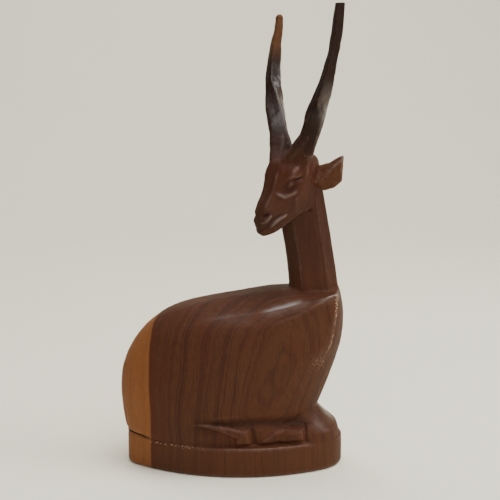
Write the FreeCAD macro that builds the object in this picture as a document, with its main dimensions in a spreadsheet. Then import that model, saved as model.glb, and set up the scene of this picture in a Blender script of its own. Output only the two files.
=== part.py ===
"""Resting antelope, hand carved from one upright billet, with two horns and two ears let into the head.

The part's own frame: +Z up, the origin on the underside in the middle of the plinth, the chest towards +X and
the rump towards -X. The head looks back over the body, between -X and -Y. Every size is in millimetres.

Five pieces are made, each with its own Label and its own STEP file:
  carved_body   plinth, folded legs, trunk, neck and head in one block, with four mortises in the head
  left_horn, right_horn   swept horns, each with a round tenon under its root
  left_ear, right_ear     hollowed leaves, each with a round tenon behind its root
"""
import FreeCAD, Part
import os
import Sketcher
from FreeCAD import Vector

doc = FreeCAD.newDocument("resting_antelope")

# ---------------------------------------------------------------- driving dimensions
SIZES = [
    # name, value, what it measures
    ("plinth_length", 119.0, "rump end to chest end"),
    ("plinth_width", 60.0, "side to side at the widest"),
    ("plinth_height", 16.5, "underside to top edge"),
    ("plinth_rump_radius", 12.0, "round of the rump end, in plan"),
    ("plinth_chest_radius", 21.0, "round of the chest end, in plan"),
    ("plinth_edge", 1.4, "rounding of the top edge"),
    ("back_rise", 83.0, "plinth top to the back at the neck"),
    ("trunk_sink", 5.0, "how far the trunk runs down inside the plinth"),
    ("neck_rise", 65.2, "back to the poll's middle"),
    ("neck_width", 20.0, "side to side at the root"),
    ("neck_top_width", 17.5, "side to side under the head"),
    ("neck_corner", 5.0, "rounding of the neck's long edges"),
    ("neck_sink", 9.0, "how far the neck runs down inside the trunk"),
    ("head_turn", 40.0, "degrees the face turns from -X towards -Y"),
    ("head_drop", 44.0, "degrees the face points below level"),
    ("head_length", 43.0, "poll's middle to the nose tip"),
    ("poll_inset", 21.8, "chest end of the plinth back to the poll's middle"),
    ("knee_width", 42.0, "folded forelegs, side to side"),
    ("knee_rise", 16.0, "folded forelegs above the plinth"),
    ("leg_relief", 2.2, "how far a folded leg stands out of the trunk's side"),
    ("leg_thick", 9.0, "a folded leg, side to side, most of it inside the trunk"),
    ("split_gap", 0.7, "drying split at the rump end: opening"),
    ("split_run", 16.0, "drying split: length along the side"),
    ("split_deep", 3.0, "drying split: depth into the wood"),
    ("crown_up", 12.5, "the face's axis up to the horns' seat"),
    ("horn_gap", 17.6, "between the two horn roots, middle to middle"),
    ("horn_length", 76.3, "seat to the left horn's tip"),
    ("horn_short", 5.4, "how much shorter the right horn is"),
    ("horn_corner", 0.22, "rounding of a horn's long edges, as a share of its thickness"),
    ("horn_tenon_radius", 2.6, "round tenon under a horn"),
    ("horn_tenon", 9.0, "length of that tenon"),
    ("ear_length", 13.6, "root to the cut end"),
    ("ear_tip_rise", 10.0, "ear's middle line up to the tip"),
    ("ear_root_rise", 4.0, "ear's middle line up to the top of the root"),
    ("ear_drop", 9.0, "ear's middle line down to the lowest point"),
    ("ear_thick", 5.0, "front to back"),
    ("ear_hollow", 3.0, "depth of the hollow"),
    ("ear_side", 9.6, "poll's middle out to the ear's root"),
    ("ear_back", 0.5, "poll's middle back to the ear's root"),
    ("ear_down", 2.6, "poll's middle down to the ear's middle line"),
    ("ear_sweep", 32.0, "degrees the ear sweeps back from straight out"),
    ("ear_roll", 14.0, "degrees the hollow faces above level"),
    ("ear_tenon_radius", 1.5, "round tenon behind an ear"),
    ("ear_tenon", 6.0, "length of that tenon, from the ear's root"),
    ("glue_gap", 0.08, "clearance all round each let-in foot and tenon"),
]
# Trunk stations, plinth top to back: share of back_rise over the middle of the plinth, inset from the plinth's
# rump end, inset from its chest end, half width, round of the rump, round of the chest, degrees of rise
# towards the chest.
TRUNK = [
    (0.04, 0.4, 15.5, 26.3, 12.0, 17.0, 0.0),
    (0.20, -2.4, 13.8, 27.4, 12.5, 17.0, 0.0),
    (0.32, -3.3, 10.0, 27.8, 13.0, 18.5, 0.0),
    (0.42, -2.8, 6.7, 27.5, 13.0, 20.0, 0.0),
    (0.53, -0.2, 3.6, 26.6, 13.0, 21.0, 0.0),
    (0.64, 4.6, 1.2, 25.2, 12.5, 21.0, 0.5),
    (0.75, 11.9, 0.1, 23.4, 11.5, 20.0, 1.0),
    (0.86, 22.2, 0.8, 20.0, 9.5, 17.5, 2.0),
    (0.92, 30.5, 2.2, 15.8, 8.0, 13.5, 4.5),
    (0.96, 43.0, 5.0, 11.0, 7.0, 9.5, 6.5),
]
# Neck stations: share of neck_rise, inset of the throat side and of the nape side from the plinth's chest end.
NECK = [
    (0.05, 28.9, 3.4),
    (0.33, 31.0, 6.6),
    (0.52, 33.3, 8.7),
    (0.76, 34.0, 11.6),
    (0.94, 32.0, 13.6),
]
# Head stations: share of head_length from the poll's middle, half width, half height, rise of the section's
# middle above the face's axis, rounding.
HEAD = [
    (-0.15, 4.6, 6.5, 0.5, 3.4),
    (-0.04, 8.8, 11.6, 1.8, 5.6),
    (0.12, 11.8, 13.2, 3.2, 7.0),
    (0.33, 11.4, 14.8, 1.8, 6.4),
    (0.58, 8.4, 11.2, 0.0, 3.6),
    (0.82, 6.0, 8.9, -1.2, 2.8),
    (0.95, 5.2, 6.4, -2.0, 2.6),
    (1.02, 3.4, 4.4, -2.6, 2.0),
]
# Horn stations: share of the horn's length, spread beyond the root, lean to the back, width, thickness. The
# first is the foot let into the head.
HORN = [
    (-0.09, -2.2, -0.5, 10.0, 9.6),
    (0.00, 0.0, 0.0, 9.8, 9.4),
    (0.17, 5.0, 0.9, 9.0, 8.8),
    (0.28, 7.8, 1.5, 8.6, 8.2),
    (0.38, 10.3, 2.9, 7.6, 7.2),
    (0.49, 12.4, 4.4, 5.9, 5.7),
    (0.62, 13.7, 5.9, 4.5, 4.3),
    (0.80, 14.4, 8.2, 4.2, 4.0),
    (1.00, 15.0, 9.8, 3.9, 3.7),
]

sheet = doc.addObject("Spreadsheet::Sheet", "sizes")


def put(row, name, value, note):
    """One driving dimension on its own row: note, then the number under its alias."""
    sheet.set(f"A{row}", note)
    sheet.set(f"B{row}", str(value))
    sheet.setAlias(f"B{row}", name)


def put_table(row, prefix, columns, table):
    """Each station of a profile as driving dimensions named prefix_N_column. Returns the next free row."""
    for number, values in enumerate(table):
        for column, value in zip(columns, values):
            put(row, f"{prefix}_{number}_{column}", value, f"{prefix} station {number}: {column}")
            row += 1
    return row


next_row = 1
for name, value, note in SIZES:
    put(next_row, name, value, note)
    next_row += 1
trunk_columns = ("share", "rump", "chest", "half", "rump_round", "chest_round", "tilt")
next_row = put_table(next_row, "trunk", trunk_columns, TRUNK)
next_row = put_table(next_row, "neck", ("share", "throat", "nape"), NECK)
next_row = put_table(next_row, "head", ("share", "half", "tall", "rise", "round"), HEAD)
next_row = put_table(next_row, "horn", ("share", "spread", "lean", "width", "thick"), HORN)
doc.recompute()


def cells(text):
    """An expression in which $name stands for the sheet's cell of that name."""
    return text.replace("$", "sizes.")


def bind(obj, **expressions):
    """Binds properties to expressions; a dot in a property's path is written as two underscores."""
    for path, text in expressions.items():
        obj.setExpression(path.replace("__", "."), cells(text))


# ---------------------------------------------------------------- frames, as expressions
TOP = "($plinth_height + $back_rise)"
HEAD_FRAME = (
    f"placement(vector($plinth_length / 2 - $poll_inset; 0; {TOP} + $neck_rise);"
    " rotation($head_turn - 90; 0; 90 + $head_drop))"
)
LEVEL_HEAD = f"{HEAD_FRAME} * placement(vector(0; 0; 0); rotation(0; 0; 0 - 90 - $head_drop))"
CROWN_FRAME = f"{HEAD_FRAME} * placement(vector(0; $crown_up; 0); rotation(0; 0; 0 - 90 - $head_drop))"


def at(x, y, z, yaw="0", pitch="0", roll="0"):
    return f"placement(vector({x}; {y}; {z}); rotation({yaw}; {pitch}; {roll}))"


# ---------------------------------------------------------------- building blocks
def rounded_section(name, place, length, width, corner):
    """A level rounded rectangle, middle on its own origin, as a sketch: length on X, width on Y."""
    sketch = doc.addObject("Sketcher::SketchObject", name)
    x, y, r = 10.0, 8.0, 2.0
    corners = [(x, -y), (x, y), (-x, y), (-x, -y)]
    sides = [(Vector(x, r - y, 0), Vector(x, y - r, 0)), (Vector(x - r, y, 0), Vector(r - x, y, 0)),
             (Vector(-x, y - r, 0), Vector(-x, r - y, 0)), (Vector(r - x, -y, 0), Vector(x - r, -y, 0))]
    turn = FreeCAD.Units.parseQuantity("90 deg").getValueAs("rad").Value
    for number, (start, end) in enumerate(sides):
        sketch.addGeometry(Part.LineSegment(start, end), False)
        cx, cy = corners[(number + 1) % 4]
        middle = Vector(cx - r if cx > 0 else cx + r, cy - r if cy > 0 else cy + r, 0)
        circle = Part.Circle(middle, Vector(0, 0, 1), r)
        sketch.addGeometry(Part.ArcOfCircle(circle, number * turn, (number + 1) * turn), False)
    for number in range(4):
        line, arc, following = 2 * number, 2 * number + 1, (2 * number + 2) % 8
        sketch.addConstraint(Sketcher.Constraint("Tangent", line, 2, arc, 1))
        sketch.addConstraint(Sketcher.Constraint("Tangent", arc, 2, following, 1))
        if number:
            sketch.addConstraint(Sketcher.Constraint("Equal", 1, arc))
    for line, kind in ((0, "Vertical"), (2, "Horizontal"), (4, "Vertical"), (6, "Horizontal")):
        sketch.addConstraint(Sketcher.Constraint(kind, line))
    sketch.addConstraint(Sketcher.Constraint("Symmetric", 0, 1, 4, 1, -1, 1))
    for label, constraint in (
        ("length", Sketcher.Constraint("DistanceX", 4, 1, 0, 1, 2 * x)),
        ("width", Sketcher.Constraint("DistanceY", 6, 1, 2, 1, 2 * y)),
        ("corner", Sketcher.Constraint("Radius", 1, r)),
    ):
        sketch.renameConstraint(sketch.addConstraint(constraint), label)
    bind(sketch, Constraints__length=length, Constraints__width=width,
         Constraints__corner=f"min({corner}; 0.46 * min({length}; {width}))", Placement=place)
    return sketch


def oval(sketch, rump_x, chest_x, half, rump_round, chest_round):
    """An egg of four tangent arcs about the X axis, in sketch. The five expressions are the two ends on X, the
    half width and the radii of the two ends."""
    flank, low, r_rump, r_chest = 110.0, -82.0, 12.0, 18.0
    rump, chest = Vector(-47.0, 0, 0), Vector(41.0, 0, 0)
    centre = Vector(0, low, 0)

    def touch(middle, radius):
        way = (middle - centre).normalize()
        return middle + way * radius

    rump_touch, chest_touch = touch(rump, r_rump), touch(chest, r_chest)
    near = lambda p: Vector(p.x, -p.y, 0)
    top = Vector(0, flank + low, 0)
    sketch.addGeometry(Part.Arc(rump_touch, rump - Vector(r_rump, 0, 0), near(rump_touch)), False)
    sketch.addGeometry(Part.Arc(near(rump_touch), near(top), near(chest_touch)), False)
    sketch.addGeometry(Part.Arc(near(chest_touch), chest + Vector(r_chest, 0, 0), chest_touch), False)
    sketch.addGeometry(Part.Arc(chest_touch, top, rump_touch), False)
    sketch.addGeometry(Part.LineSegment(Vector(-9, flank + low, 0), Vector(9, flank + low, 0)), True)
    sketch.addGeometry(Part.Point(rump - Vector(r_rump, 0, 0)), True)
    sketch.addGeometry(Part.Point(chest + Vector(r_chest, 0, 0)), True)

    def vertex(number, point):
        return 1 if sketch.Geometry[number].StartPoint.distanceToPoint(point) < 1.0 else 2

    joints = [(n, (n + 1) % 4, p) for n, p in enumerate(
        (near(rump_touch), near(chest_touch), chest_touch, rump_touch))]
    joints = [(a, vertex(a, p), b, vertex(b, p)) for a, b, p in joints]
    for first, first_end, second, second_end in joints:
        sketch.addConstraint(Sketcher.Constraint("Tangent", first, first_end, second, second_end))
    for arc in (0, 2):
        sketch.addConstraint(Sketcher.Constraint("PointOnObject", arc, 3, -1))
    sketch.addConstraint(Sketcher.Constraint("Equal", 1, 3))
    sketch.addConstraint(Sketcher.Constraint("Tangent", 4, 3))
    sketch.addConstraint(Sketcher.Constraint("Symmetric", 4, 1, 4, 2, -2))
    sketch.addConstraint(Sketcher.Constraint("DistanceX", 4, 1, 4, 2, 18.0))
    for point, arc in ((5, 0), (6, 2)):
        sketch.addConstraint(Sketcher.Constraint("PointOnObject", point, 1, -1))
        sketch.addConstraint(Sketcher.Constraint("PointOnObject", point, 1, arc))
    for label, constraint in (
        ("rump", Sketcher.Constraint("DistanceX", 5, 1, -1, 1, 59.0)),
        ("chest", Sketcher.Constraint("DistanceX", -1, 1, 6, 1, 59.0)),
        ("half", Sketcher.Constraint("DistanceY", -1, 1, 4, 1, 28.0)),
        ("rump_round", Sketcher.Constraint("Radius", 0, r_rump)),
        ("chest_round", Sketcher.Constraint("Radius", 2, r_chest)),
    ):
        sketch.renameConstraint(sketch.addConstraint(constraint), label)
    bind(sketch, Constraints__rump=rump_x, Constraints__chest=chest_x, Constraints__half=half,
         Constraints__rump_round=rump_round, Constraints__chest_round=chest_round)


def loft(name, sections):
    """A closed smooth skin through the sections."""
    made = doc.addObject("Part::Loft", name)
    made.Sections = sections
    made.Solid = True
    made.Ruled = False
    return made


def fuse(name, pieces):
    made = doc.addObject("Part::MultiFuse", name)
    made.Shapes = pieces
    return made


def cut(name, base, tool):
    made = doc.addObject("Part::Cut", name)
    made.Base = base
    made.Tool = tool
    return made


# ---------------------------------------------------------------- carved_body
def plinth():
    """The plinth: a pad of an egg-shaped plan, tighter at the rump end, with its top edge rounded."""
    body = doc.addObject("PartDesign::Body", "plinth")
    sketch = body.newObject("Sketcher::SketchObject", "plinth_plan")
    plane = [f for f in body.Origin.OriginFeatures if f.Role == "XY_Plane"][0]
    sketch.AttachmentSupport = [(plane, "")]
    sketch.MapMode = "FlatFace"
    oval(sketch, "$plinth_length / 2", "$plinth_length / 2", "$plinth_width / 2",
         "$plinth_rump_radius", "$plinth_chest_radius")
    pad = body.newObject("PartDesign::Pad", "plinth_pad")
    pad.Profile = sketch
    bind(pad, Length="$plinth_height")
    doc.recompute()
    rim = body.newObject("PartDesign::Fillet", "plinth_rim")
    top = [f"Face{n + 1}" for n, face in enumerate(pad.Shape.Faces) if face.normalAt(0, 0).z > 0.9]
    rim.Base = (pad, top)
    bind(rim, Radius="$plinth_edge")
    body.Tip = rim
    return body


def trunk():
    """The trunk: level egg sections from inside the plinth up to the flat of the back."""
    heights = [f"$plinth_height + $back_rise * $trunk_{number}_share" for number in range(len(TRUNK))]
    stations = [(0, "$plinth_height - $trunk_sink")] + list(enumerate(heights))
    sections = []
    for number, height in stations:
        section = doc.addObject("Sketcher::SketchObject", f"trunk_section_{len(sections)}")
        oval(section, f"$plinth_length / 2 - $trunk_{number}_rump", f"$plinth_length / 2 - $trunk_{number}_chest",
             f"$trunk_{number}_half", f"$trunk_{number}_rump_round", f"$trunk_{number}_chest_round")
        bind(section, Placement=at("0", "0", height, "0", f"0 - $trunk_{number}_tilt"))
        sections.append(section)
    return loft("trunk", sections)


def neck():
    """The neck: level sections from inside the trunk up into the head."""
    last = len(NECK) - 1
    heights = [f"{TOP} + $neck_rise * $neck_{number}_share" for number in range(len(NECK))]
    sections = []
    for number, height in [(0, f"{TOP} - $neck_sink")] + list(enumerate(heights)):
        length = f"($neck_{number}_throat - $neck_{number}_nape)"
        middle = f"($plinth_length / 2 - ($neck_{number}_throat + $neck_{number}_nape) / 2)"
        width = f"($neck_width + ($neck_top_width - $neck_width) * {number} / {last})"
        sections.append(rounded_section(
            f"neck_section_{len(sections)}", at(middle, "0", height), length, width, "$neck_corner"))
    return loft("neck", sections)


def head():
    """The head: sections square to the face's axis, from behind the poll to the nose."""
    sections = [
        rounded_section(
            f"head_section_{number}",
            f"{HEAD_FRAME} * " + at("0", f"$head_{number}_rise", f"$head_length * $head_{number}_share"),
            f"(2 * $head_{number}_half)", f"(2 * $head_{number}_tall)", f"$head_{number}_round")
        for number in range(len(HEAD))
    ]
    return loft("head", sections)


def knees():
    """The folded forelegs under the chest: a low drum with a shoulder sloping up to the chest."""
    # share of knee_rise, end's inset from the plinth's chest end, length, share of knee_width, rounding
    rows = ((-0.3, 1.6, 50, 1.0, 17), (0.35, 1.8, 50, 1.0, 17), (0.46, 3.4, 46, 0.94, 16), (1.0, 14.0, 26, 0.55, 9))
    return loft("knees", [
        rounded_section(
            f"knee_section_{number}",
            at(f"$plinth_length / 2 - {end} - {length} / 2", "0", f"$plinth_height + {share} * $knee_rise"),
            f"{length}", f"({wide} * $knee_width)", f"{corner}")
        for number, (share, end, length, wide, corner) in enumerate(rows)
    ])


def folded_legs():
    """On each side a hind cannon with its hoof, and a fore cannon whose knee is cut square, lying in relief."""
    # share of plinth_length from the middle, middle height above the plinth's top, height, share of leg_relief
    legs = {
        "hind": ((-0.22, 9.5, 5.0, 0.3), (-0.10, 8.6, 6.2, 1.0), (0.02, 6.2, 4.4, 1.0), (0.07, 4.9, 2.2, 0.7)),
        "fore": ((0.32, 4.4, 8.2, 1.0), (0.20, 4.9, 7.4, 1.0), (0.11, 2.6, 4.2, 0.9), (0.07, 1.3, 2.2, 0.7)),
    }
    made = []
    for side, name in ((-1, "near"), (1, "far")):
        for leg, rows in legs.items():
            made.append(loft(f"{name}_{leg}_leg", [
                rounded_section(
                    f"{name}_{leg}_section_{number}",
                    at(f"{share} * $plinth_length",
                       f"{side} * ({leg_line(share)} + {relief} * $leg_relief - $leg_thick / 2)",
                       f"$plinth_height + {rise}", "0", "90"),
                    f"{height}", "$leg_thick", f"0.35 * {height}")
                for number, (share, rise, height, relief) in enumerate(rows)
            ]))
    return made


def leg_line(share):
    """Half width of the trunk's foot at a share of plinth_length from the middle."""
    return f"($trunk_0_half * (1 - 1.1 * pow({share} + 0.03; 2)))"


def split():
    """A drying split near the plinth's top line, running from the rump end along the near side."""
    gap = doc.addObject("Part::Box", "split")
    bind(gap, Length="$split_run + 3", Width="2 * $split_deep", Height="$split_gap",
         Placement=at("0 - $plinth_length / 2 - 0.64 * $split_deep", "0 - 0.77 * $split_deep - 2",
                      "$plinth_height + 1.6", "-40", "7"))
    return gap


# ---------------------------------------------------------------- horns
def horn_sections(side, short, prefix, grow, numbers):
    """Level sections of one horn, in the crown's frame; grow is added all round."""
    sections = []
    for number in numbers:
        rise = f"(($horn_length - {short}) * $horn_{number}_share)"
        spot = at(f"{side} * ($horn_gap / 2 + $horn_{number}_spread)", f"$horn_{number}_lean", rise)
        sections.append(rounded_section(
            f"{prefix}_section_{number}", f"{CROWN_FRAME} * {spot}",
            f"($horn_{number}_width + 2 * {grow})", f"($horn_{number}_thick + 2 * {grow})",
            f"($horn_corner * $horn_{number}_thick)"))
    return sections


def horn_tenon(side, label, grow):
    """The round tenon under the foot."""
    tenon = doc.addObject("Part::Cylinder", f"{label}_tenon")
    foot = "$horn_length * $horn_0_share"
    bind(tenon, Radius=f"$horn_tenon_radius + {grow}", Height=f"$horn_tenon + {grow} + 1",
         Placement=f"{CROWN_FRAME} * " + at(f"{side} * ($horn_gap / 2 + $horn_0_spread)", "$horn_0_lean",
                                            f"{foot} - $horn_tenon - {grow}"))
    return tenon


def horn(side, label, short):
    """One horn. side is +1 for the animal's left."""
    blade = loft(f"{label}_blade", horn_sections(side, short, label, "0", range(len(HORN))))
    made = fuse(f"{label}_solid", [blade, horn_tenon(side, label, "0")])
    made.Label = label
    return made


def horn_mortise(side, label, short):
    """The space a horn takes in the head, with the glue gap all round."""
    room = f"{label}_room"
    blade = loft(f"{room}_blade", horn_sections(side, short, room, "$glue_gap", range(len(HORN))))
    return [blade, horn_tenon(side, room, "$glue_gap")]


# ---------------------------------------------------------------- ears
def ear_frame(side):
    """The ear's own frame: X out along the leaf, Y up across it, Z through it."""
    yaw = "$ear_sweep" if side > 0 else "180 - $ear_sweep"
    return (f"{LEVEL_HEAD} * " + at(f"{side} * $ear_side", "$ear_back", "0 - $ear_down", yaw)
            + " * " + at("0", "0", "0", "0", "0", f"90 - {side} * $ear_roll"))


def leaf(label, side, grow, hollowed):
    """The leaf as a padded outline, thick enough for the hollow, with the root running into the head."""
    body = doc.addObject("PartDesign::Body", f"{label}_leaf")
    sketch = body.newObject("Sketcher::SketchObject", f"{label}_outline")
    plane = [f for f in body.Origin.OriginFeatures if f.Role == "XY_Plane"][0]
    sketch.AttachmentSupport = [(plane, "")]
    sketch.MapMode = "FlatFace"
    root, end = "0 - 0.15 * $ear_length", "$ear_length"
    # name, place along and across the leaf, the way each moves when the outline grows, a starting guess
    points = (
        ("root_low", root, "0 - 0.7 * $ear_drop", -1, -1, -2.1, -6.3),
        ("heel", "0.3 * $ear_length", "0 - $ear_drop", 0, -1, 4.4, -9.0),
        ("belly", "0.68 * $ear_length", "0 - 0.84 * $ear_drop", 0.4, -1, 9.8, -7.6),
        ("toe", end, "0 - 0.4 * $ear_drop", 1, -0.5, 14.5, -3.6),
        ("tip", end, "$ear_tip_rise", 1, 2, 14.5, 10.0),
        ("brow", "0.45 * $ear_length", "$ear_root_rise + 1.2", 0, 1, 6.5, 5.2),
        ("root_high", root, "$ear_root_rise", -1, 1, -2.1, 4.0),
    )
    for number, row in enumerate(points):
        following = points[(number + 1) % len(points)]
        sketch.addGeometry(Part.LineSegment(Vector(*row[5:], 0), Vector(*following[5:], 0)), False)
    for number, row in enumerate(points):
        name, x, y, out_x, out_y, guess_x, guess_y = row
        sketch.addConstraint(Sketcher.Constraint("Coincident", number, 2, (number + 1) % len(points), 1))
        for axis, value, shift, guess in (("X", x, out_x, guess_x), ("Y", y, out_y, guess_y)):
            constraint = Sketcher.Constraint(f"Distance{axis}", -1, 1, number, 1, guess)
            sketch.renameConstraint(sketch.addConstraint(constraint), f"{name}_{axis}")
            sketch.setExpression(f"Constraints.{name}_{axis}", cells(f"{value} + {shift} * {grow}"))
    pad = body.newObject("PartDesign::Pad", f"{label}_pad")
    pad.Profile = sketch
    pad.Midplane = True
    bind(pad, Length=f"$ear_thick + 2 * {grow}")
    body.Tip = pad
    bind(body, Placement=ear_frame(side))
    if not hollowed:
        return body
    spoon = doc.addObject("Part::Ellipsoid", f"{label}_spoon")
    bind(spoon, Radius1="$ear_hollow", Radius2="0.62 * $ear_length", Radius3="0.45 * $ear_drop",
         Angle1="-90", Angle2="90", Angle3="360",
         Placement=f"{ear_frame(side)} * " + at("0.75 * $ear_length", "0.3 * $ear_tip_rise",
                                                f"{side} * $ear_thick / 2", "25"))
    return cut(f"{label}_hollowed", body, spoon)


def ear_tenon(label, side, grow):
    tenon = doc.addObject("Part::Cylinder", f"{label}_tenon")
    bind(tenon, Radius=f"$ear_tenon_radius + {grow}", Height=f"$ear_tenon + {grow} + 2",
         Placement=f"{ear_frame(side)} * " + at(f"0 - $ear_tenon - {grow}", "0", "0", "0", "90"))
    return tenon


def ear(side, label):
    made = fuse(f"{label}_solid", [leaf(label, side, "0", True), ear_tenon(label, side, "0")])
    made.Label = label
    return made


def ear_mortise(side, label):
    return [leaf(f"{label}_room", side, "$glue_gap", False), ear_tenon(f"{label}_room", side, "$glue_gap")]


# ---------------------------------------------------------------- assembly
SIDES = ((1, "left", "0"), (-1, "right", "$horn_short"))
block = fuse("block", [plinth(), trunk(), neck(), head(), knees()] + folded_legs())
rooms = [split()]
for side, name, short in SIDES:
    rooms += horn_mortise(side, f"{name}_horn", short)
    rooms += ear_mortise(side, f"{name}_ear")
carved = cut("carved_body_solid", block, fuse("rooms", rooms))
carved.Label = "carved_body"
pieces = [carved]
for side, name, short in SIDES:
    pieces.append(horn(side, f"{name}_horn", short))
    pieces.append(ear(side, f"{name}_ear"))
doc.recompute()

for item in doc.Objects:
    bad = [state for state in item.State if state in ("Invalid", "Error")]
    if bad:
        raise RuntimeError(f"{item.Label} did not build: {bad}")
os.makedirs("parts", exist_ok=True)
for piece in pieces:
    shape = piece.Shape
    if shape.isNull() or not shape.isValid() or len(shape.Solids) != 1:
        raise RuntimeError(f"{piece.Label} is not one valid solid: {len(shape.Solids)} solids")
for piece in pieces:
    piece.Shape.exportStep(os.path.join("parts", f"{piece.Label}.step"))
    box = piece.Shape.BoundBox
    print(f"{piece.Label}: {piece.Shape.Volume:.0f} mm3, X {box.XMin:.1f}..{box.XMax:.1f},"
          f" Y {box.YMin:.1f}..{box.YMax:.1f}, Z {box.ZMin:.1f}..{box.ZMax:.1f}")
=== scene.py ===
import math

import bpy
import numpy as np
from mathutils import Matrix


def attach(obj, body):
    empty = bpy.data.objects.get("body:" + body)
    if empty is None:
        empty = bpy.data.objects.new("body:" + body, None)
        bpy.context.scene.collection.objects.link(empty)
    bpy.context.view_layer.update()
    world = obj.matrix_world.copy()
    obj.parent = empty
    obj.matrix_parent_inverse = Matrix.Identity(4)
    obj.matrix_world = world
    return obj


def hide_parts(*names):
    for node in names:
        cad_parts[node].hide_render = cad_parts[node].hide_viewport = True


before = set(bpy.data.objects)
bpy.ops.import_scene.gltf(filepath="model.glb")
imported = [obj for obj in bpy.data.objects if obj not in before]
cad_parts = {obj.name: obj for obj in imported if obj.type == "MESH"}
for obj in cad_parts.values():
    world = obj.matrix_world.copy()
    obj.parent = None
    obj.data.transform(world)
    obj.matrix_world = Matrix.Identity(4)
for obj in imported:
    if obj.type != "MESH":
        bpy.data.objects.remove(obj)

bl_info = {
    "name": "Couchant Antelope Carving",
    "version": (1, 0, 0),
    "blender": (4, 5, 0),
    "location": "View3D > Sidebar > Carving",
    "description": "A lying antelope carved from one block of hardwood, with let-in horns and ears",
    "category": "Add Mesh",
}

# All shapes are worked out in millimetres; MM takes them to metres. The plinth's sizes are its top's level, half its
# length and half its width; the block is thinned to so many triangles.
MM = 0.001
PLINTH_TOP, PLINTH_LONG, PLINTH_HALF = 16.5, 59.5, 30.0
BLOCK_TRIANGLES = 186000

# The head's own axes: out of the poll, forward along the face, up through the forehead, out to the left.
TURN, DROP = math.radians(40.0), math.radians(44.0)
POLL = np.array((37.7, 0.0, 164.7))
FORWARD = np.array((-math.cos(DROP) * math.cos(TURN), -math.cos(DROP) * math.sin(TURN), -math.sin(DROP)))
UPWARD = np.array((-math.sin(DROP) * math.cos(TURN), -math.sin(DROP) * math.sin(TURN), math.cos(DROP)))
LEFTWARD = np.array((math.sin(TURN), -math.cos(TURN), 0.0))
BACKWARD = np.array((math.cos(TURN), math.sin(TURN), 0.0))
VERTICAL = np.array((0.0, 0.0, 1.0))


# ---- number helpers
def read_table(table, at):
    """A table's columns at the given stations, which its first column holds. Each is a smooth line, level beyond the
    ends: cubic pieces whose slope at each station is the weighted harmonic mean of the slopes beside it, or zero at
    a high or low point."""
    rows = np.array(table, float)
    x, y = rows[:, 0], rows[:, 1:]
    step = np.diff(x)[:, None]
    slope = np.diff(y, axis=0) / step
    before, after = slope[:-1], slope[1:]
    agree = before * after > 0
    near, far = 2 * step[1:] + step[:-1], step[1:] + 2 * step[:-1]
    mean = near / np.where(agree, before, 1.0) + far / np.where(agree, after, 1.0)
    inner = np.where(agree, (near + far) / np.where(agree, mean, 1.0), 0.0)
    tangent = np.vstack((slope[:1], inner, slope[-1:]))
    at = np.clip(at, x[0], x[-1])
    i = np.clip(np.searchsorted(x, at, side="right") - 1, 0, len(x) - 2)
    h = step[i]
    t = (at - x[i])[..., None] / h
    line = ((2 * t**3 - 3 * t**2 + 1) * y[i] + (t**3 - 2 * t**2 + t) * h * tangent[i]
            + (3 * t**2 - 2 * t**3) * y[i + 1] + (t**3 - t**2) * h * tangent[i + 1])
    return np.moveaxis(line, -1, 0)


def bell(at, middle, width):
    """1 at the middle, falling off alike on both sides to 0.37 one width away."""
    return np.exp(-(((at - middle) / width) ** 2))


def round_turn(count):
    """So many evenly spaced directions round a circle."""
    return np.linspace(0, 2 * math.pi, count + 1)[:-1]


def in_plan(ways):
    """Each direction laid level and made one long."""
    flat = ways * (1, 1, 0)
    return flat / np.maximum(np.linalg.norm(flat, axis=1, keepdims=True), 1e-6)


def soft_least(a, b, reach):
    """The lesser of two numbers, with the corner between them rounded over reach by a parabola."""
    h = np.clip(0.5 + 0.5 * (b - a) / reach, 0.0, 1.0)
    return b + (a - b) * h - reach * h * (1.0 - h)


def rise(low, high, at):
    """0 below low, 1 above high, and a smooth S between them."""
    t = np.clip((at - low) / (high - low), 0.0, 1.0)
    return t * t * (3.0 - 2.0 * t)


def ripple(points, size, seed):
    """A gentle unevenness between about -1 and 1: a sum of twelve sine waves of fixed odd directions and phases,
    with wavelengths around size."""
    wave = np.arange(12) + 1.0

    def odd(pace, spread):
        """Twelve fixed numbers from 0 to 1 without any plain order."""
        return np.mod(np.sin(wave * (pace + seed)) * spread, 1.0)

    phase = odd(12.9898, 43758.5453) * 2 * math.pi
    turn = odd(78.233, 24634.6345) * 2 * math.pi
    tilt = odd(39.425, 15731.743) * 2 - 1
    flat = np.sqrt(1 - tilt**2)
    way = np.stack((flat * np.cos(turn), flat * np.sin(turn), tilt)) * (2 * math.pi / size)
    way = way * (0.6 + 0.9 * np.mod(wave * 0.618, 1.0))
    return np.sin(points @ way + phase).sum(axis=1) / 4.2


def stroke(spots, line):
    """How far each spot lies from a bent line, and how far along it, from 0 to 1: the least distance to its
    straight runs."""
    line = np.asarray(line, float)
    run = np.linalg.norm(np.diff(line, axis=0), axis=1)
    start = np.concatenate(((0.0,), np.cumsum(run)))
    best = np.full(len(spots), 1e9)
    along = np.zeros(len(spots))
    for n in range(len(run)):
        way = line[n + 1] - line[n]
        t = np.clip((spots - line[n]) @ way / run[n] ** 2, 0, 1)
        d = np.linalg.norm(spots - line[n] - t[:, None] * way, axis=1)
        along = np.where(d < best, (start[n] + t * run[n]) / start[-1], along)
        best = np.minimum(d, best)
    return best, along


def depth_in(x, y, outline):
    """How deep each point (x, y) lies inside a closed outline, negative outside: the distance to the nearest
    edge, with its sign from the number of edges crossed on the way out."""
    ring = np.asarray(outline, float)
    best, _ = stroke(np.stack((x, y), axis=1), np.vstack((ring, ring[:1])))
    inside = np.zeros(x.shape, bool)
    for (ax, ay), (bx, by) in zip(ring, np.roll(ring, -1, axis=0)):
        spans = (ay > y) != (by > y)
        inside ^= spans & (x < ax + (y - ay) * (bx - ax) / (by - ay if by != ay else 1.0))
    return np.where(inside, best, -best)


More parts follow.
